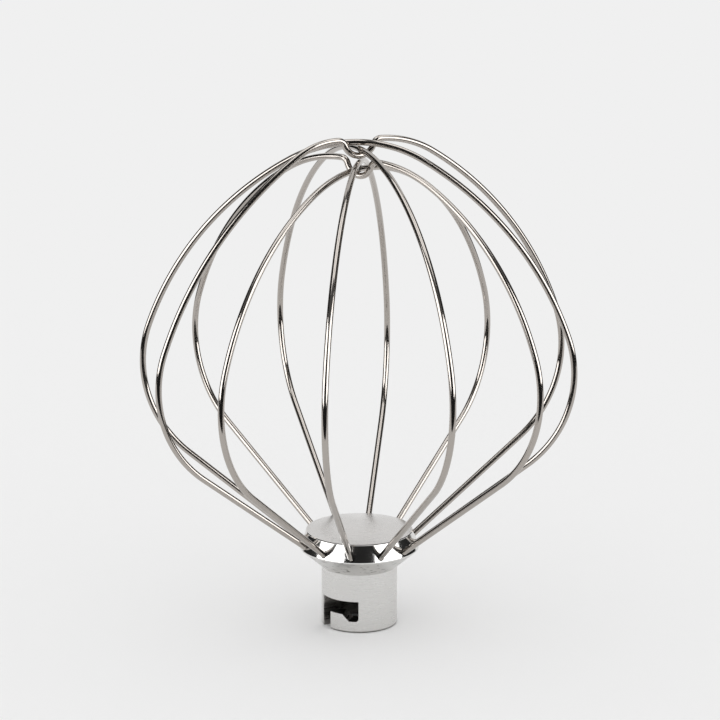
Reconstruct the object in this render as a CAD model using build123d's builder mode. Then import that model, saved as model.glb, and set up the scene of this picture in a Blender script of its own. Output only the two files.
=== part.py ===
from build123d import *
import math
import os

# Six-wire balloon whip for a stand mixer. Millimetres, +Z up through the balloon.
# The origin is the centre of the hub's foot, and the mixer's shaft comes in from below.
# Angles in plan are in degrees from +X towards +Y.

# ---- drive socket: a half-inch shaft with a cross pin, held by a J-shaped slot
shaft_diameter = 12.7
shaft_clearance = 0.1
bore_depth = 22.0
bore_chamfer = 0.5
pin_diameter = 4.0
pin_clearance = 0.2
slot_top_height = 10.3
slot_corner = 0.5
entry_angle = -150.0
seat_angle = -104.0
seat_depth = 2.2
seat_margin = 0.44
seat_corner = 1.0

# ---- hub: a plain cylinder, a flared underside and a steep bevel
hub_wall = 5.55
foot_round = 0.6
neck_fillet = 1.2
rim_wall = 4.6
rim_height = 25.0
rim_land = 0.4
bevel_lean = 21.0
edge_break = 0.15

# ---- chamber under the cap: the wire ends stand in it, and the clamp ring traps them
boss_wall = 2.1
floor_wall = 2.7
chamber_chamfer = 0.7
ring_height = 3.0
ring_gap = 0.05
ring_chamfer = 0.3

# ---- cap: a shallow dome on a spigot that is pressed into the chamber
spigot_length = 2.45
cap_edge = 0.3
cap_dome = 2.7

# ---- wires
wire_diameter = 2.0
first_wire_angle = -7.5
hole_clearance = 0.15
hole_margin = 0.26
leg_angle = 37.7
hook_radius = 2.0
hook_inset = 0.1
hook_clearance = 0.35
tail_clearance = 1.36
tail_gap = 0.7
balloon_radius = 69.0
shoulder_radius = 36.7
shoulder_lean = 19.5
flank_fullness = 12.3
crown_height = 154.7
crossing_gap = 0.1
notch_half_width = 7.0
notch_depth = 5.0
crest_radius = 2.4
# Going round the hub, each wire as it is bent by hand: its place in the stack where they
# cross, counted down from the top; whether it dips there in a notch and lets the others pass
# over it; how far it is turned off even spacing; and how much wider its two sides stand
bends = [
    (0, False, 1.8, -2.0, -0.6),
    (2, True, -0.8, 0.7, -3.2),
    (4, False, 0.0, 0.4, -2.0),
    (3, False, -0.7, -4.2, 1.1),
    (1, False, -1.0, 3.2, 5.0),
    (5, True, -2.8, 1.4, 1.6),
]

# ---- sizes that follow: the socket, and the slot from its top down
cut = 1.0  # how far a cutter runs past the face that it opens
bore_radius = shaft_diameter / 2 + shaft_clearance
hub_radius = bore_radius + hub_wall
wall_cut = hub_wall + 2 * cut
slot_width = pin_diameter + 2 * pin_clearance
lip_height = slot_top_height - slot_width
seat_floor = lip_height - seat_depth
seat_half_width = slot_width / 2 + seat_margin

# ---- the hub from its axis outwards: boss, wire ends, hooks, chamber wall, rim
slope = math.radians(leg_angle)
wire_radius = wire_diameter / 2
boss_radius = bore_radius + boss_wall
tail_radius = boss_radius + tail_clearance + wire_radius
leg_start_radius = tail_radius + hook_radius * (1 + math.sin(slope))
chamber_radius = leg_start_radius + hook_inset
rim_radius = chamber_radius + rim_wall
ring_inner_radius = tail_radius + wire_radius + ring_gap

# ---- where a wire goes in through the bevel, just above the rim
bevel_slope = math.tan(math.radians(bevel_lean))
hole_radius = wire_radius + hole_clearance
hole_rise = hole_radius * math.cos(math.radians(bevel_lean)) / math.cos(math.radians(leg_angle - bevel_lean))
bevel_foot_height = rim_height + rim_land
entry_height = bevel_foot_height + hole_rise + hole_margin
entry_radius = rim_radius - (entry_height - bevel_foot_height) * bevel_slope
hole_reach = (entry_radius - chamber_radius) / math.cos(slope) + hole_radius

# ---- the chamber from the wire upwards and downwards
leg_start_height = entry_height - (entry_radius - leg_start_radius) * math.tan(slope)
tail_foot = leg_start_height + hook_radius * math.cos(slope)
chamber_floor = tail_foot - hook_radius - wire_radius - hook_clearance
neck_height = chamber_floor - floor_wall
wire_top_at_wall = leg_start_height + hook_inset * math.tan(slope) + wire_radius / math.cos(slope)
ring_bottom = wire_top_at_wall + ring_gap
spigot_bottom = ring_bottom + ring_height
tail_top = spigot_bottom - tail_gap
bevel_top_height = spigot_bottom + spigot_length
bevel_top_radius = rim_radius - (bevel_top_height - bevel_foot_height) * bevel_slope
cap_rim_height = bevel_top_height + cap_edge
dome_radius = (bevel_top_radius**2 + cap_dome**2) / (2 * cap_dome)

# ---- the balloon
lean = math.radians(shoulder_lean)
stack_pitch = wire_diameter + crossing_gap
wire_angles = [first_wire_angle + i * 180 / len(bends) + bend[2] for i, bend in enumerate(bends)]


def plan_direction(angle):
    """The level unit vector at a plan angle."""
    return Vector(math.cos(math.radians(angle)), math.sin(math.radians(angle)), 0)


def upright_plane(angle):
    """The plane through the hub's axis at a plan angle: x runs outwards and y runs up."""
    outwards = plan_direction(angle)
    return Plane(origin=(0, 0, 0), x_dir=outwards, z_dir=outwards.cross(Vector(0, 0, 1)))


def facing_plane(angle):
    """An upright plane just inside the bore, square to a plan angle and seen from outside."""
    outwards = plan_direction(angle)
    return Plane(
        origin=outwards * (bore_radius - cut), x_dir=Vector(0, 0, 1).cross(outwards), z_dir=outwards
    )


# ---- hub body
with BuildPart() as hub_body:
    with BuildSketch(Plane.XZ) as section:
        with BuildLine():
            Polyline(
                (0, 0),
                (hub_radius, 0),
                (hub_radius, neck_height),
                (rim_radius, rim_height),
                (rim_radius, bevel_foot_height),
                (bevel_top_radius, bevel_top_height),
                (0, bevel_top_height),
                close=True,
            )
        make_face()
        corners = section.vertices()
        fillet(corners.group_by(Axis.Y)[0].sort_by(Axis.X)[-1], foot_round)
        fillet(corners.group_by(Axis.Y)[1], neck_fillet)
        chamfer(corners.group_by(Axis.Y)[-1].sort_by(Axis.X)[-1], edge_break)
    revolve(axis=Axis.Z)

    # bore for the shaft, with a lead-in at the foot
    with BuildSketch(Plane.XY):
        Circle(bore_radius)
    extrude(amount=bore_depth, mode=Mode.SUBTRACT)
    chamfer(hub_body.edges().group_by(Axis.Z)[0].sort_by(SortBy.RADIUS)[0], bore_chamfer)

    # ring-shaped chamber round a boss, open at the top, where the boss meets the cap's spigot
    with BuildSketch(Plane.XZ):
        with BuildLine():
            Polyline(
                (boss_radius, chamber_floor),
                (chamber_radius - chamber_chamfer, chamber_floor),
                (chamber_radius, chamber_floor + chamber_chamfer),
                (chamber_radius, bevel_top_height),
                (0, bevel_top_height),
                (0, spigot_bottom),
                (boss_radius, spigot_bottom),
                close=True,
            )
        make_face()
    revolve(axis=Axis.Z, mode=Mode.SUBTRACT)

    # a slanted hole for each wire end, drilled through the bevel into the chamber
    for angle in wire_angles + [angle + 180 for angle in wire_angles]:
        outwards = plan_direction(angle)
        entry = outwards * entry_radius + Vector(0, 0, entry_height)
        with BuildSketch(Plane(origin=entry, z_dir=outwards + Vector(0, 0, math.tan(slope)))):
            Circle(hole_radius)
        extrude(amount=hole_reach, both=True, mode=Mode.SUBTRACT)

    # J-shaped slot through the wall: an entry that is open at the foot
    with BuildSketch(facing_plane(entry_angle)):
        with Locations((0, (slot_top_height - cut) / 2)):
            Rectangle(slot_width, slot_top_height + cut)
    extrude(amount=wall_cut, mode=Mode.SUBTRACT)

    # a channel that runs round from the entry
    with BuildSketch(upright_plane(entry_angle)):
        with Locations(((bore_radius + hub_radius) / 2, (slot_top_height + lip_height) / 2)):
            Rectangle(wall_cut, slot_width)
    revolve(axis=Axis.Z, revolution_arc=seat_angle - entry_angle, mode=Mode.SUBTRACT)

    # and a seat below the lip, with a ramp that the pin climbs to leave it
    with BuildSketch(facing_plane(seat_angle)) as seat:
        with BuildLine():
            Polyline(
                (-seat_half_width, lip_height),
                (seat_depth - seat_half_width, seat_floor),
                (seat_half_width, seat_floor),
                (seat_half_width, slot_top_height),
                (-seat_half_width, slot_top_height),
                close=True,
            )
        make_face()
        right_corners = seat.vertices().sort_by(Axis.X)[-2:].sort_by(Axis.Y)
        fillet(right_corners[0], seat_corner)
        fillet(right_corners[1], slot_corner)
    extrude(amount=wall_cut, mode=Mode.SUBTRACT)


# ---- clamp ring: pressed into the chamber, above the wires and outside their upturned ends
with BuildPart() as clamp_ring:
    with BuildSketch(Plane.XY.offset(ring_bottom)):
        Circle(chamber_radius)
        Circle(ring_inner_radius, mode=Mode.SUBTRACT)
    extrude(amount=ring_height)
    chamfer(clamp_ring.edges().group_by(Axis.Z)[0], ring_chamfer)


# ---- hub cap: its rim carries the bevel on, and its spigot holds the clamp ring down
with BuildPart() as hub_cap:
    with BuildSketch(Plane.XZ) as section:
        with BuildLine():
            dome = JernArc(
                start=(0, cap_rim_height + cap_dome),
                tangent=(1, 0),
                radius=dome_radius,
                arc_size=-math.degrees(math.asin(bevel_top_radius / dome_radius)),
            )
            Polyline(
                dome @ 1,
                (bevel_top_radius, bevel_top_height),
                (chamber_radius, bevel_top_height),
                (chamber_radius, spigot_bottom),
                (0, spigot_bottom),
                dome @ 0,
            )
        make_face()
        chamfer(section.vertices().sort_by(Axis.X)[-2:].sort_by(Axis.Y)[-1], edge_break)
    revolve(axis=Axis.Z)


# ---- wires
def two_arc_radii(run, rise, start_lean, middle_lean):
    """The radii of two arcs in a row that go in by run and up by rise, and end level.

    They start at start_lean past upright and meet at middle_lean past it.
    """
    start, middle = math.radians(start_lean), math.radians(middle_lean)
    run_shares = (math.cos(start) - math.cos(middle), math.cos(middle))
    rise_shares = (math.sin(middle) - math.sin(start), 1 - math.sin(middle))
    scale = run_shares[0] * rise_shares[1] - run_shares[1] * rise_shares[0]
    first = (run * rise_shares[1] - rise * run_shares[1]) / scale
    second = (rise * run_shares[0] - run * rise_shares[0]) / scale
    return first, second


def half_loop(angle, place, notched, widening):
    """Half of a wire's line in the upright plane at a plan angle, from its tail to the axis."""
    side_radius = balloon_radius + widening
    shoulder_start_radius = side_radius - shoulder_radius * (1 - math.sin(slope))
    shoulder_start_height = entry_height + (shoulder_start_radius - entry_radius) * math.tan(slope)
    shoulder_end_radius = side_radius - shoulder_radius * (1 - math.cos(lean))
    shoulder_end_height = shoulder_start_height + shoulder_radius * (math.cos(slope) + math.sin(lean))
    inner_radius, top_height = 0, crown_height - place * stack_pitch
    if notched:
        inner_radius = notch_half_width
        top_height = top_height + notch_depth
    run, rise = shoulder_end_radius - inner_radius, top_height - shoulder_end_height
    flank_lean = math.degrees(math.atan2(run, rise)) + flank_fullness
    flank_radius, crown_radius = two_arc_radii(run, rise, shoulder_lean, flank_lean)

    with BuildLine(upright_plane(angle)) as half:
        tail = Line((tail_radius, tail_top), (tail_radius, tail_foot))
        hook = JernArc(tail @ 1, tail % 1, hook_radius, 90 + leg_angle)
        leg = Line(hook @ 1, (shoulder_start_radius, shoulder_start_height))
        shoulder = JernArc(leg @ 1, leg % 1, shoulder_radius, 90 + shoulder_lean - leg_angle)
        flank = JernArc(shoulder @ 1, shoulder % 1, flank_radius, flank_lean - shoulder_lean)
        crown = JernArc(flank @ 1, flank % 1, crown_radius, 90 - flank_lean)
        if notched:
            turn = 2 * math.degrees(math.atan(notch_depth / notch_half_width))
            dip_radius = notch_half_width / math.sin(math.radians(turn)) - crest_radius
            crest = JernArc(crown @ 1, crown % 1, crest_radius, turn)
            JernArc(crest @ 1, crest % 1, dip_radius, -turn)
    return half


def whisk_wire(angle, place, notched, widenings):
    """One wire: a loop in an upright plane, with both ends hooked inside the hub."""
    near_side = half_loop(angle, place, notched, widenings[0])
    far_side = half_loop(angle + 180, place, notched, widenings[1])
    with BuildPart() as wire:
        with BuildLine() as loop:
            add(near_side.line)
            add(far_side.line)
        path = loop.wires()[0]
        with BuildSketch(Plane(origin=path @ 0, z_dir=path % 0)):
            Circle(wire_radius)
        sweep(path=path)
    return wire


pieces = {"hub_body": hub_body, "clamp_ring": clamp_ring, "hub_cap": hub_cap}
for index, (place, notched, _, *widenings) in enumerate(bends):
    pieces[f"whisk_wire_{index + 1}"] = whisk_wire(wire_angles[index], place, notched, widenings)

os.makedirs("parts", exist_ok=True)
for name, piece in pieces.items():
    piece.part.label = name
    export_step(piece.part, f"parts/{name}.step")
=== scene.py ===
import math

import bpy
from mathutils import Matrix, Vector


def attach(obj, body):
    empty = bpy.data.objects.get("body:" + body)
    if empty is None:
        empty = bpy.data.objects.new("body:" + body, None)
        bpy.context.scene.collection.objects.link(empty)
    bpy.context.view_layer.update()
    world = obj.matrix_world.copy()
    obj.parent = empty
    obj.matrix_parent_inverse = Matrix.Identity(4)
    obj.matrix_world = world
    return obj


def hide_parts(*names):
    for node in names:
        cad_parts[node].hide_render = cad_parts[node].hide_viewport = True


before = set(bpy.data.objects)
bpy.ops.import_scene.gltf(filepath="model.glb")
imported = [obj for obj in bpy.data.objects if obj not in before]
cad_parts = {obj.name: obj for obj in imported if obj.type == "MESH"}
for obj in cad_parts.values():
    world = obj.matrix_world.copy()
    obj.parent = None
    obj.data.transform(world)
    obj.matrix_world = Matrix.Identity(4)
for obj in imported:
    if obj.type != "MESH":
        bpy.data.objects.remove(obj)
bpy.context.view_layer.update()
mm = 0.001
scene = bpy.context.scene
scene.view_settings.view_transform = "Standard"
print("frame loaded:", ", ".join(sorted(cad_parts)))


# sRGB hex code to the linear colour that shaders take
def linearColour(hexCode):
    channels = [int(hexCode[i : i + 2], 16) / 255 for i in (1, 3, 5)]
    return [c / 12.92 if c <= 0.04045 else ((c + 0.055) / 1.055) ** 2.4 for c in channels] + [1.0]


# one node: its settings, then its inputs, each a fixed value or another node's output
def addNode(tree, kind, settings=None, inputs=None):
    node = tree.nodes.new(kind)
    for name, value in (settings or {}).items():
        setattr(node, name, value)
    for key, value in (inputs or {}).items():
        if isinstance(value, bpy.types.NodeSocket):
            tree.links.new(value, node.inputs[key])
        else:
            node.inputs[key].default_value = value
    return node


# the noise scale that makes a pattern's features this many mm in size
def perMm(size):
    return 1 / (size * mm)


noiseLow, noiseHigh = 0.3, 0.7  # nearly all of a noise texture's values lie between these


def newMaterial(name):
    material = bpy.data.materials.new(name)
    material.use_nodes = True
    material.node_tree.nodes.clear()
    return material


def finishMaterial(material, shader):
    addNode(material.node_tree, "ShaderNodeOutputMaterial", {}, {"Surface": shader.outputs[0]})
    return material


# the six bent wires, with the same sizes as the CAD loops, in mm and degrees
wireBend = {
    "diameter": 2.0,
    "firstAngle": -7.5,
    "tailRadius": 10.91,
    "tailTop": 27.249,
    "tailFoot": 25.14,
    "hookRadius": 2.0,
    "legAngle": 37.7,
    "balloonRadius": 69.0,
    "shoulderRadius": 36.7,
    "shoulderLean": 19.5,
    "flankFullness": 12.3,
    "crownHeight": 154.7,
    "stackPitch": 2.1,
    "notchHalfWidth": 7.0,
    "notchDepth": 5.0,
    "crestRadius": 2.4,
    # place in the stack at the crown, counted down from the top, whether it dips in a notch,
    # how far it is turned off even spacing, and how much wider its two sides stand
    "bends": [
        (0, False, 1.8, -2.0, -0.6), (2, True, -0.8, 0.7, -3.2), (4, False, 0.0, 0.4, -2.0),
        (3, False, -0.7, -4.2, 1.1), (1, False, -1.0, 3.2, 5.0), (5, True, -2.8, 1.4, 1.6),
    ],
    "arcStep": 1.5,  # degrees
    "pointSpacing": 0.5,
    "profilePoints": 24,
}


# follows moves from a start, as (distance out, height) points. A move is a length and no turn,
# or a bend's radius and how far it turns, to the left if more than 0
def traceMoves(start, heading, moves, step):
    points = [Vector(start)]
    for size, turn in moves:
        if turn == 0:
            points.append(points[-1] + size * Vector((math.cos(heading), math.sin(heading))))
            continue
        side = math.copysign(1, turn)
        centre = points[-1] + side * size * Vector((-math.sin(heading), math.cos(heading)))
        pieces = max(2, math.ceil(abs(turn) / step))
        for i in range(1, pieces + 1):
            now = heading + math.radians(turn) * i / pieces
            points.append(centre - side * size * Vector((-math.sin(now), math.cos(now))))
        heading += math.radians(turn)
    return points


# the radii of two arcs in a row that go in by run and up by rise, and end level
def twoArcRadii(run, rise, startLean, middleLean):
    a, b = math.radians(startLean), math.radians(middleLean)
    runShares = (math.cos(a) - math.cos(b), math.cos(b))
    riseShares = (math.sin(b) - math.sin(a), 1 - math.sin(b))
    scale = runShares[0] * riseShares[1] - runShares[1] * riseShares[0]
    return (
        (run * riseShares[1] - rise * runShares[1]) / scale,
        (rise * runShares[0] - run * riseShares[0]) / scale,
    )


# one side of a wire, from its end in the hub to the top of the balloon
def halfLoop(place, notched, widening):
    w = wireBend
    sideRadius = w["balloonRadius"] + widening
    slope, lean = math.radians(w["legAngle"]), math.radians(w["shoulderLean"])
    legRadius = w["tailRadius"] + w["hookRadius"] * (1 + math.sin(slope))
    legHeight = w["tailFoot"] - w["hookRadius"] * math.cos(slope)
    shoulderRadius = sideRadius - w["shoulderRadius"] * (1 - math.sin(slope))
    legLength = (shoulderRadius - legRadius) / math.cos(slope)
    shoulderHeight = legHeight + legLength * math.sin(slope)
    flankStart = (
        sideRadius - w["shoulderRadius"] * (1 - math.cos(lean)),
        shoulderHeight + w["shoulderRadius"] * (math.cos(slope) + math.sin(lean)),
    )
    inner = w["notchHalfWidth"] if notched else 0
    top = w["crownHeight"] - place * w["stackPitch"] + (w["notchDepth"] if notched else 0)
    run, rise = flankStart[0] - inner, top - flankStart[1]
    middleLean = math.degrees(math.atan2(run, rise)) + w["flankFullness"]
    flank, crown = twoArcRadii(run, rise, w["shoulderLean"], middleLean)
    moves = [
        (w["tailTop"] - w["tailFoot"], 0),
        (w["hookRadius"], 90 + w["legAngle"]),
        (legLength, 0),
        (w["shoulderRadius"], 90 + w["shoulderLean"] - w["legAngle"]),
        (flank, middleLean - w["shoulderLean"]),
        (crown, 90 - middleLean),
    ]
    if notched:
        turn = 2 * math.degrees(math.atan(w["notchDepth"] / w["notchHalfWidth"]))
        dip = w["notchHalfWidth"] / math.sin(math.radians(turn)) - w["crestRadius"]
        moves += [(w["crestRadius"], turn), (dip, -turn)]
    return traceMoves((w["tailRadius"], w["tailTop"]), math.radians(-90), moves, w["arcStep"])


# sweeps a round profile along the wire's line, and keeps where each point is on the surface
def makeWireTree(material):
    tree = bpy.data.node_groups.new("bentWire", "GeometryNodeTree")
    face = tree.interface
    face.new_socket("Geometry", in_out="INPUT", socket_type="NodeSocketGeometry")
    face.new_socket("Wire Diameter", in_out="INPUT", socket_type="NodeSocketFloat")
    face.new_socket("Point Spacing", in_out="INPUT", socket_type="NodeSocketFloat")
    face.new_socket("Profile Points", in_out="INPUT", socket_type="NodeSocketInt")
    face.new_socket("Geometry", in_out="OUTPUT", socket_type="NodeSocketGeometry")
    entry = addNode(tree, "NodeGroupInput")
    even = addNode(tree, "GeometryNodeResampleCurve", {"mode": "LENGTH"},
                   {"Curve": entry.outputs["Geometry"], "Length": entry.outputs["Point Spacing"]})
    along = addNode(tree, "GeometryNodeSplineParameter")
    keepAlong = addNode(tree, "GeometryNodeCaptureAttribute", {"domain": "POINT"})
    keepAlong.capture_items.new("FLOAT", "Along")
    tree.links.new(even.outputs[0], keepAlong.inputs[0])
    tree.links.new(along.outputs["Length"], keepAlong.inputs[1])
    radius = addNode(tree, "ShaderNodeMath", {"operation": "DIVIDE"},
                     {0: entry.outputs["Wire Diameter"], 1: 2.0})
    ring = addNode(tree, "GeometryNodeCurvePrimitiveCircle", {"mode": "RADIUS"},
                   {"Resolution": entry.outputs["Profile Points"], "Radius": radius.outputs[0]})
    spot = addNode(tree, "GeometryNodeInputPosition")
    keepRound = addNode(tree, "GeometryNodeCaptureAttribute", {"domain": "POINT"})
    keepRound.capture_items.new("VECTOR", "Round")
    tree.links.new(ring.outputs[0], keepRound.inputs[0])
    tree.links.new(spot.outputs[0], keepRound.inputs[1])
    tube = addNode(tree, "GeometryNodeCurveToMesh", {}, {
        "Curve": keepAlong.outputs[0], "Profile Curve": keepRound.outputs[0], "Fill Caps": True,
    })
    split = addNode(tree, "ShaderNodeSeparateXYZ", {}, {0: keepRound.outputs[1]})
    place = addNode(tree, "ShaderNodeCombineXYZ", {},
                    {0: split.outputs[0], 1: split.outputs[1], 2: keepAlong.outputs[1]})
    store = addNode(
        tree, "GeometryNodeStoreNamedAttribute", {"data_type": "FLOAT_VECTOR", "domain": "POINT"},
        {"Geometry": tube.outputs[0], "Name": "wireSurface", "Value": place.outputs[0]},
    )
    smooth = addNode(tree, "GeometryNodeSetShadeSmooth", {}, {"Geometry": store.outputs[0]})
    whole = addNode(tree, "GeometryNodeRealizeInstances", {}, {"Geometry": smooth.outputs[0]})
    coat = addNode(tree, "GeometryNodeSetMaterial", {}, {"Geometry": whole.outputs[0], "Material": material})
    addNode(tree, "NodeGroupOutput", {}, {"Geometry": coat.outputs[0]})
    return tree


# gives the curve its tree, sets the inputs by their identifiers, and returns the plain mesh
def bakeTree(name, curve, tree, values):
    source = bpy.data.objects.new(name + "Line", curve)
    scene.collection.objects.link(source)
    modifier = source.modifiers.new("build", "NODES")
    modifier.node_group = tree
    for item in tree.interface.items_tree:
        if item.item_type == "SOCKET" and item.in_out == "INPUT" and item.name in values:
            modifier[item.identifier] = values[item.name]
    graph = bpy.context.evaluated_depsgraph_get()
    graph.update()
    mesh = bpy.data.meshes.new_from_object(source.evaluated_get(graph), depsgraph=graph)
    source.modifiers.remove(modifier)
    bpy.data.objects.remove(source)
    piece = bpy.data.objects.new(name, mesh)
    mesh.name = name
    scene.collection.objects.link(piece)
    return piece


def makeWires(material):
    w = wireBend
    tree = makeWireTree(material)
    values = {
        "Wire Diameter": w["diameter"] * mm,
        "Point Spacing": w["pointSpacing"] * mm,
        "Profile Points": w["profilePoints"],
    }
    for index, (place, notched, turn, nearWidening, farWidening) in enumerate(w["bends"]):
        angle = math.radians(w["firstAngle"] + index * 180 / len(w["bends"]) + turn)
        outwards = Vector((math.cos(angle), math.sin(angle), 0))
        near, far = halfLoop(place, notched, nearWidening), halfLoop(place, notched, farWidening)
        line = [outwards * p.x + Vector((0, 0, p.y)) for p in near]
        line += [Vector((0, 0, p.y)) - outwards * p.x for p in reversed(far[:-1])]
        curve = bpy.data.curves.new("wireLine", "CURVE")
        curve.dimensions = "3D"
        spline = curve.splines.new("POLY")
        spline.points.add(len(line) - 1)
        for point, spot in zip(spline.points, line):
            point.co = (*(spot * mm), 1)
        piece = bakeTree(f"bentWire{index + 1}", curve, tree, values)
        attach(piece, "root")
        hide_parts(f"whisk_wire_{index + 1}")
    print("wires swept:", len(w["bends"]))


# bright drawn stainless steel wire: pulled through a die and polished, so it is close to a
# mirror, and its faint drawing lines draw every reflection out into a streak along the wire
def brightDrawnStainless():
    # the real lines are a few hundredths of a mm wide, and these are coarser so that they show
    look = {
        "colour": "#b3ada7", "roughness": 0.09,
        "lineWidth": 0.12, "lineLength": 9.0, "lineDepth": 0.0025, "bumpStrength": 0.5,
    }
    material = newMaterial("brightDrawnStainless")
    tree = material.node_tree
    spot = addNode(tree, "ShaderNodeAttribute", {"attribute_name": "wireSurface"})
    stretch = addNode(tree, "ShaderNodeMapping", {}, {
        "Vector": spot.outputs["Vector"],
        "Scale": (perMm(look["lineWidth"]), perMm(look["lineWidth"]), perMm(look["lineLength"])),
    })
    lines = addNode(tree, "ShaderNodeTexNoise", {}, {
        "Vector": stretch.outputs[0], "Scale": 1.0, "Detail": 3.0, "Roughness": 0.6,
    })
    bump = addNode(tree, "ShaderNodeBump", {}, {
        "Height": lines.outputs["Fac"], "Strength": look["bumpStrength"], "Distance": look["lineDepth"] * mm,
    })
    shader = addNode(tree, "ShaderNodeBsdfPrincipled", {}, {
        "Base Color": linearColour(look["colour"]), "Metallic": 1.0, "Roughness": look["roughness"],
        "Normal": bump.outputs[0],
    })
    return finishMaterial(material, shader)


# where a point is on something turned on the Z axis: object coordinates, radius and height
def turnedPlace(tree):
    spot = addNode(tree, "ShaderNodeTexCoord").outputs["Object"]
    split = addNode(tree, "ShaderNodeSeparateXYZ", {}, {0: spot})
    flat = addNode(tree, "ShaderNodeCombineXYZ", {}, {0: split.outputs[0], 1: split.outputs[1]})
    radius = addNode(tree, "ShaderNodeVectorMath", {"operation": "LENGTH"}, {0: flat.outputs[0]})
    return spot, radius.outputs["Value"], split.outputs[2]


# turned aluminium: fine tool lines make the cylinder satin, and they draw its highlights out
# sideways. The flare is nicked and greyer, the bevel is polished to a mirror, the inner faces carry painted
# shade
def turnedAluminium():
    look = {
        # where each finish starts and stops on the hub, in mm
        "neckHeight": 19.1, "rimHeight": 25.0, "bevelTop": 30.4,
        "cylinderRadius": 12.0, "rimRadius": 18.83, "bevelTopRadius": 16.91,
        "edgeBand": 0.1, "landHeight": 0.4,
        "skin": 0.3, "skinFade": 0.25,
        # the foot's painted contact shadow: full below the lower height, gone above the higher
        "footShadeTop": 0.7, "footShadeFull": 0.15,
        # patterns in mm: the lines and the mottle are coarser than the real ones, which would not
        # show, and the nicks are about as long as the real ones
        "lineWidth": 0.385, "lineLength": 8.33,
        "mottle": 0.667, "mottleShare": 0.5,
        "nickWidth": 0.526, "nickLength": 2.38, "nickFrom": 0.61, "nickTo": 0.67, "nickDirt": 0.8,
        "depth": 0.02, "bevelDepthShare": 0.35,
        # colours and gloss: the second colour is painted shade for the inner faces, and the third is painted
        # contact shadow at the foot as well as dirt in the nicks
        "colour": "#dedddb", "inside": "#8f8c89", "shadeAndDirt": "#6d6a66",
        "satin": 0.31, "satinSpread": 0.1, "flare": 0.3, "mirror": 0.09, "turnedStreak": 0.7,
    }
    material = newMaterial("turnedAluminium")
    tree = material.node_tree
    spot, radius, height = turnedPlace(tree)

    # how far in from the turned outline a point lies, which tells the outside from the bore, slot and holes,
    # which get painted shade
    widening = addNode(tree, "ShaderNodeMapRange", {}, {
        "Value": height,
        "From Min": look["neckHeight"] * mm, "From Max": look["rimHeight"] * mm,
        "To Min": look["cylinderRadius"] * mm, "To Max": look["rimRadius"] * mm,
    })
    bevelIn = addNode(tree, "ShaderNodeMapRange", {}, {
        "Value": height,
        "From Min": (look["rimHeight"] + look["landHeight"]) * mm, "From Max": look["bevelTop"] * mm,
        "To Min": 0.0, "To Max": (look["rimRadius"] - look["bevelTopRadius"]) * mm,
    })
    outline = addNode(tree, "ShaderNodeMath", {"operation": "SUBTRACT"},
                      {0: widening.outputs[0], 1: bevelIn.outputs[0]})
    depth = addNode(tree, "ShaderNodeMath", {"operation": "SUBTRACT"}, {0: outline.outputs[0], 1: radius})
    # painted shade: faces deeper than the skin, in the bore, slot and holes, get the darker inner colour
    inside = addNode(tree, "ShaderNodeMapRange", {}, {
        "Value": depth.outputs[0],
        "From Min": look["skin"] * mm, "From Max": (look["skin"] + look["skinFade"]) * mm,
    })
    onBevel = addNode(tree, "ShaderNodeMath", {"operation": "GREATER_THAN"},
                      {0: height, 1: (look["rimHeight"] + look["edgeBand"]) * mm})
    aboveNeck = addNode(tree, "ShaderNodeMath", {"operation": "GREATER_THAN"},
                        {0: height, 1: look["neckHeight"] * mm})

    # tool lines round the axis, and a mottle between them
    lineSpot = addNode(tree, "ShaderNodeMapping", {}, {
        "Vector": spot,
        "Scale": (perMm(look["lineLength"]), perMm(look["lineLength"]), perMm(look["lineWidth"])),
    })
    lines = addNode(tree, "ShaderNodeTexNoise", {}, {
        "Vector": lineSpot.outputs[0], "Scale": 1.0, "Detail": 3.0, "Roughness": 0.65,
    })
    mottle = addNode(tree, "ShaderNodeTexNoise", {}, {
        "Vector": spot, "Scale": perMm(look["mottle"]), "Detail": 5.0, "Roughness": 0.7,
    })

    # short nicks on the flare, left by the tool that worked the wires in
    nickSpot = addNode(tree, "ShaderNodeMapping", {}, {
        "Vector": spot,
        "Scale": (perMm(look["nickLength"]), perMm(look["nickLength"]), perMm(look["nickWidth"])),
    })
    nickField = addNode(tree, "ShaderNodeTexNoise", {}, {
        "Vector": nickSpot.outputs[0], "Scale": 1.0, "Detail": 2.0, "Roughness": 0.5,
    })
    nickShape = addNode(tree, "ShaderNodeMapRange", {}, {
        "Value": nickField.outputs["Fac"], "From Min": look["nickFrom"], "From Max": look["nickTo"],
    })
    onFlare = addNode(tree, "ShaderNodeMath", {"operation": "SUBTRACT"},
                      {0: aboveNeck.outputs[0], 1: onBevel.outputs[0]})
    nicks = addNode(tree, "ShaderNodeMath", {"operation": "MULTIPLY"},
                    {0: nickShape.outputs[0], 1: onFlare.outputs[0]})

    # gloss: satin that varies with the lines, then the flare's own, then the bevel's mirror
    satin = addNode(tree, "ShaderNodeMapRange", {}, {
        "Value": lines.outputs["Fac"], "From Min": noiseLow, "From Max": noiseHigh,
        "To Min": look["satin"] - look["satinSpread"], "To Max": look["satin"] + look["satinSpread"],
    })
    belowBevel = addNode(tree, "ShaderNodeMix", {"data_type": "FLOAT"},
                         {0: aboveNeck.outputs[0], 2: satin.outputs[0], 3: look["flare"]})
    rough = addNode(tree, "ShaderNodeMix", {"data_type": "FLOAT"},
                    {0: onBevel.outputs[0], 2: belowBevel.outputs[0], 3: look["mirror"]})

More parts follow.
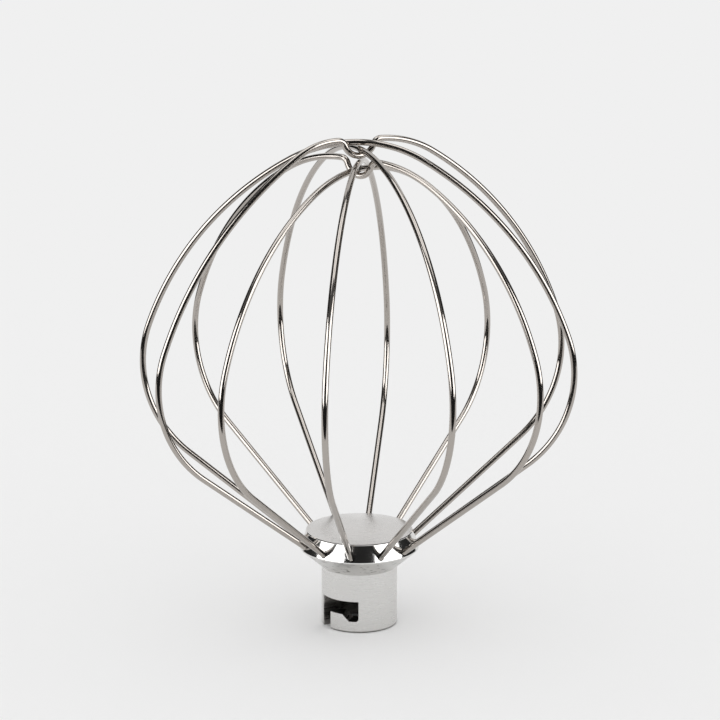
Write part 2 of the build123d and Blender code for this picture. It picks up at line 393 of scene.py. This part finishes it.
    # relief: lines and mottle below the rim, and a slight mottle on the bevel
    softMottle = addNode(tree, "ShaderNodeMath", {"operation": "MULTIPLY"},
                         {0: mottle.outputs["Fac"], 1: look["mottleShare"]})
    lined = addNode(tree, "ShaderNodeMath", {"operation": "ADD"},
                    {0: lines.outputs["Fac"], 1: softMottle.outputs[0]})
    relief = addNode(tree, "ShaderNodeMix", {"data_type": "FLOAT"},
                     {0: onBevel.outputs[0], 2: lined.outputs[0], 3: mottle.outputs["Fac"]})
    reliefDepth = addNode(tree, "ShaderNodeMix", {"data_type": "FLOAT"},
                          {0: onBevel.outputs[0], 2: 1.0, 3: look["bevelDepthShare"]})
    bump = addNode(tree, "ShaderNodeBump", {}, {
        "Height": relief.outputs[0], "Strength": reliefDepth.outputs[0], "Distance": look["depth"] * mm,
    })

    # colour: painted contact shadow at the foot, dirt in the nicks, and painted shade on the inner faces
    # painted contact shadow: the foot darkens towards the floor
    foot = addNode(tree, "ShaderNodeMapRange", {}, {
        "Value": height, "From Min": look["footShadeFull"] * mm, "From Max": look["footShadeTop"] * mm,
        "To Min": 1.0, "To Max": 0.0,
    })
    nickDirt = addNode(tree, "ShaderNodeMath", {"operation": "MULTIPLY"},
                       {0: nicks.outputs[0], 1: look["nickDirt"]})
    # the darker colour is painted contact shadow at the foot and real dirt in the nicks
    footShadeAndNickDirt = addNode(tree, "ShaderNodeMath", {"operation": "MAXIMUM"},
                    {0: foot.outputs[0], 1: nickDirt.outputs[0]})
    skin = addNode(tree, "ShaderNodeMix", {"data_type": "RGBA"}, {
        0: footShadeAndNickDirt.outputs[0], 6: linearColour(look["colour"]), 7: linearColour(look["shadeAndDirt"]),
    })
    # painted shade on the inner faces, over the outside colour
    colour = addNode(tree, "ShaderNodeMix", {"data_type": "RGBA"}, {
        0: inside.outputs[0], 6: skin.outputs[2], 7: linearColour(look["inside"]),
    })
    around = addNode(tree, "ShaderNodeTangent", {"direction_type": "RADIAL", "axis": "Z"})
    shader = addNode(tree, "ShaderNodeBsdfPrincipled", {}, {
        "Base Color": colour.outputs[2], "Metallic": 1.0, "Roughness": rough.outputs[0],
        "Normal": bump.outputs[0], "Anisotropic": look["turnedStreak"], "Tangent": around.outputs[0],
    })
    return finishMaterial(material, shader)


# the cap, aluminium faced in the lathe: fine rings make the dome satin, and its edge is polished
def satinCapAluminium():
    look = {
        "colour": "#dddbd9",
        "edgeTop": 30.75,  # mm up to where the polished edge ends
        "ringWidth": 0.24, "ringLength": 7.7, "ringDepth": 0.012,  # mm, coarser so that they show
        "satin": 0.3, "satinSpread": 0.07, "mirror": 0.07, "edgeBump": 0.1, "domeBump": 0.8,
        "turnedStreak": 0.6,
    }
    material = newMaterial("satinCapAluminium")
    tree = material.node_tree
    spot, radius, height = turnedPlace(tree)
    alongRings = addNode(tree, "ShaderNodeMapping", {}, {
        "Vector": spot, "Scale": (perMm(look["ringLength"]), perMm(look["ringLength"]), 0.0),
    })
    acrossRings = addNode(tree, "ShaderNodeMath", {"operation": "MULTIPLY"},
                          {0: radius, 1: perMm(look["ringWidth"])})
    outwards = addNode(tree, "ShaderNodeCombineXYZ", {}, {2: acrossRings.outputs[0]})
    ringSpot = addNode(tree, "ShaderNodeVectorMath", {"operation": "ADD"},
                       {0: alongRings.outputs[0], 1: outwards.outputs[0]})
    rings = addNode(tree, "ShaderNodeTexNoise", {}, {
        "Vector": ringSpot.outputs[0], "Scale": 1.0, "Detail": 4.0, "Roughness": 0.7,
    })
    onDome = addNode(tree, "ShaderNodeMath", {"operation": "GREATER_THAN"},
                     {0: height, 1: look["edgeTop"] * mm})
    satin = addNode(tree, "ShaderNodeMapRange", {}, {
        "Value": rings.outputs["Fac"], "From Min": noiseLow, "From Max": noiseHigh,
        "To Min": look["satin"] - look["satinSpread"], "To Max": look["satin"] + look["satinSpread"],
    })
    rough = addNode(tree, "ShaderNodeMix", {"data_type": "FLOAT"},
                    {0: onDome.outputs[0], 2: look["mirror"], 3: satin.outputs[0]})
    bumpShare = addNode(tree, "ShaderNodeMix", {"data_type": "FLOAT"},
                        {0: onDome.outputs[0], 2: look["edgeBump"], 3: look["domeBump"]})
    bump = addNode(tree, "ShaderNodeBump", {}, {
        "Height": rings.outputs["Fac"], "Strength": bumpShare.outputs[0],
        "Distance": look["ringDepth"] * mm,
    })
    around = addNode(tree, "ShaderNodeTangent", {"direction_type": "RADIAL", "axis": "Z"})
    shader = addNode(tree, "ShaderNodeBsdfPrincipled", {}, {
        "Base Color": linearColour(look["colour"]), "Metallic": 1.0,
        "Roughness": rough.outputs[0], "Normal": bump.outputs[0],
        "Anisotropic": look["turnedStreak"], "Tangent": around.outputs[0],
    })
    return finishMaterial(material, shader)


# the hidden clamp ring, plain turned steel: grey, and duller in some spots than in others
def plainTurnedSteel():
    look = {"colour": "#b8b6b2", "grain": 1.1, "glossiest": 0.3, "dullest": 0.45}  # grain in mm
    material = newMaterial("plainTurnedSteel")
    tree = material.node_tree
    spot = addNode(tree, "ShaderNodeTexCoord")
    grain = addNode(tree, "ShaderNodeTexNoise", {}, {
        "Vector": spot.outputs["Object"], "Scale": perMm(look["grain"]),
    })
    rough = addNode(tree, "ShaderNodeMapRange", {}, {
        "Value": grain.outputs["Fac"], "To Min": look["glossiest"], "To Max": look["dullest"],
    })
    shader = addNode(tree, "ShaderNodeBsdfPrincipled", {}, {
        "Base Color": linearColour(look["colour"]), "Metallic": 1.0, "Roughness": rough.outputs[0],
    })
    return finishMaterial(material, shader)


def paintNode(name, material):
    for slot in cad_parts[name].material_slots:
        slot.material = material


makeWires(brightDrawnStainless())
paintNode("hub_body", turnedAluminium())
paintNode("hub_cap", satinCapAluminium())
paintNode("clamp_ring", plainTurnedSteel())
print("finishes given")


# the studio, in metres and degrees: a pale paper floor, even light, and cards that only the
# metal reflects. Angles go round from the camera's side, and a glow of 1 is as bright as white
studio = {
    "floorSize": 12.0,
    "floorColour": "#f0f0f0",
    "floorRoughness": 0.9,
    "airGlow": 1.0,
    "cardColour": "#ffffff",
    "roomRadius": 2.6,
    "roomHeight": 2.4,
    "roomSides": 24,
    "roomGlow": 0.02,
    "ceilingGlow": 0.12,
    "coverLift": 0.0005,  # how far the dark covers lie above the paper
    "tableFront": -0.2,
    "tableSide": 0.6,
    "softboxDistance": 1.2,
    "softboxFoot": 0.05,
    "softboxNear": 35.5,
    "softboxFar": 88.0,
    "softboxNearTop": (25.0, 1.2),
    "softboxFarTop": (88.0, 0.7),
    "softboxGlow": 3.2,
    "overheadNear": 0.07,
    "overheadFar": 0.75,
    "overheadDepth": 1.0,
    "overheadHeight": 1.3,
    "overheadGlow": 1.8,
    "backDistance": 0.9,
    "backWidth": 1.2,
    "backHeight": 1.6,
    "backGlow": 0.85,
}


def flatPiece(name, corners, material):
    mesh = bpy.data.meshes.new(name)
    mesh.from_pydata([tuple(corner) for corner in corners], [], [tuple(range(len(corners)))])
    mesh.materials.append(material)
    piece = bpy.data.objects.new(name, mesh)
    scene.collection.objects.link(piece)
    return piece


# a glowing card that shows in reflections only
def reflectedCard(name, corners, glow):
    material = newMaterial(name + "Paint")
    light = addNode(material.node_tree, "ShaderNodeEmission", {}, {
        "Color": linearColour(studio["cardColour"]), "Strength": glow,
    })
    card = flatPiece(name, corners, finishMaterial(material, light))
    card.visible_camera = card.visible_diffuse = card.visible_shadow = False
    card.visible_transmission = card.visible_volume_scatter = False


# the corners of a level rectangle
def levelCorners(left, front, right, back, height):
    return [(left, front, height), (right, front, height), (right, back, height), (left, back, height)]


# a point at an angle from the camera's side, more than 0 to the right
def studioPoint(angle, distance, height):
    a = math.radians(angle)
    return Vector((distance * math.sin(a), -distance * math.cos(a), height))


def makeFloor():
    s = studio
    half = s["floorSize"] / 2
    paper = newMaterial("mattePaper")
    shader = addNode(paper.node_tree, "ShaderNodeBsdfPrincipled", {}, {
        "Base Color": linearColour(s["floorColour"]), "Roughness": s["floorRoughness"],
        "Specular IOR Level": 0.0,
    })
    flatPiece("paperFloor", levelCorners(-half, -half, half, half, 0), finishMaterial(paper, shader))


def makeAir():
    world = bpy.data.worlds.new("studioAir")
    world.use_nodes = True
    world.node_tree.nodes.clear()
    air = addNode(world.node_tree, "ShaderNodeBackground", {}, {
        "Color": linearColour(studio["cardColour"]), "Strength": studio["airGlow"],
    })
    addNode(world.node_tree, "ShaderNodeOutputWorld", {}, {"Surface": air.outputs[0]})
    world.cycles.sampling_method = "NONE"
    scene.world = world


# the dark room, which gives the wires their black lines: walls, ceiling, and covers that hide
# the paper in front of the table and beside it
def makeRoom():
    s = studio
    r, top, half, lift = s["roomRadius"], s["roomHeight"], s["floorSize"] / 2, s["coverLift"]
    front, side = s["tableFront"], s["tableSide"]
    turn = 360 / s["roomSides"]
    for k in range(s["roomSides"]):
        a, b = k * turn, (k + 1) * turn
        reflectedCard(f"roomWall{k}", [
            studioPoint(a, r, 0), studioPoint(b, r, 0), studioPoint(b, r, top), studioPoint(a, r, top),
        ], s["roomGlow"])
    reflectedCard("roomCeiling", levelCorners(-r, -r, r, r, top), s["ceilingGlow"])
    reflectedCard("darkFront", levelCorners(-half, -half, half, front, lift), s["roomGlow"])
    reflectedCard("darkLeft", levelCorners(-half, front, -side, half, lift), s["roomGlow"])
    reflectedCard("darkRight", levelCorners(side, front, half, half, lift), s["roomGlow"])


# the bright cards: tall softboxes either side of the camera, two panels overhead with a dark
# gap between them, and pale paper behind
def makeLights():
    s = studio
    distance, depth, height = s["softboxDistance"], s["overheadDepth"] / 2, s["overheadHeight"]
    for side in (-1, 1):
        reflectedCard("softbox", [
            studioPoint(side * s["softboxNear"], distance, s["softboxFoot"]),
            studioPoint(side * s["softboxFar"], distance, s["softboxFoot"]),
            studioPoint(side * s["softboxFarTop"][0], distance, s["softboxFarTop"][1]),
            studioPoint(side * s["softboxNearTop"][0], distance, s["softboxNearTop"][1]),
        ], s["softboxGlow"])
        near, far = side * s["overheadNear"], side * s["overheadFar"]
        reflectedCard("overheadPanel", levelCorners(near, -depth, far, depth, height), s["overheadGlow"])
    half, back, top = s["backWidth"] / 2, s["backDistance"], s["backHeight"]
    reflectedCard("backPaper", [
        (-half, back, 0), (half, back, 0), (half, back, top), (-half, back, top),
    ], s["backGlow"])


# the camera: a long lens a little under a metre away, looking slightly down
view = {
    "place": (0.0002, -0.9, 0.3144),  # metres
    "pitchDown": 14.25,
    "lens": 148.8,  # mm
    "sensor": 36.0,  # mm
    "nearest": 0.05,
    "farthest": 50.0,
}


def makeCamera():
    data = bpy.data.cameras.new("whipCamera")
    data.lens, data.sensor_width = view["lens"], view["sensor"]
    data.clip_start, data.clip_end = view["nearest"], view["farthest"]
    camera = bpy.data.objects.new("whipCamera", data)
    camera.location = view["place"]
    camera.rotation_euler = (math.radians(90 - view["pitchDown"]), 0, 0)
    scene.collection.objects.link(camera)
    scene.camera = camera


makeFloor()
makeAir()
makeRoom()
makeLights()
makeCamera()
print("studio and camera ready")
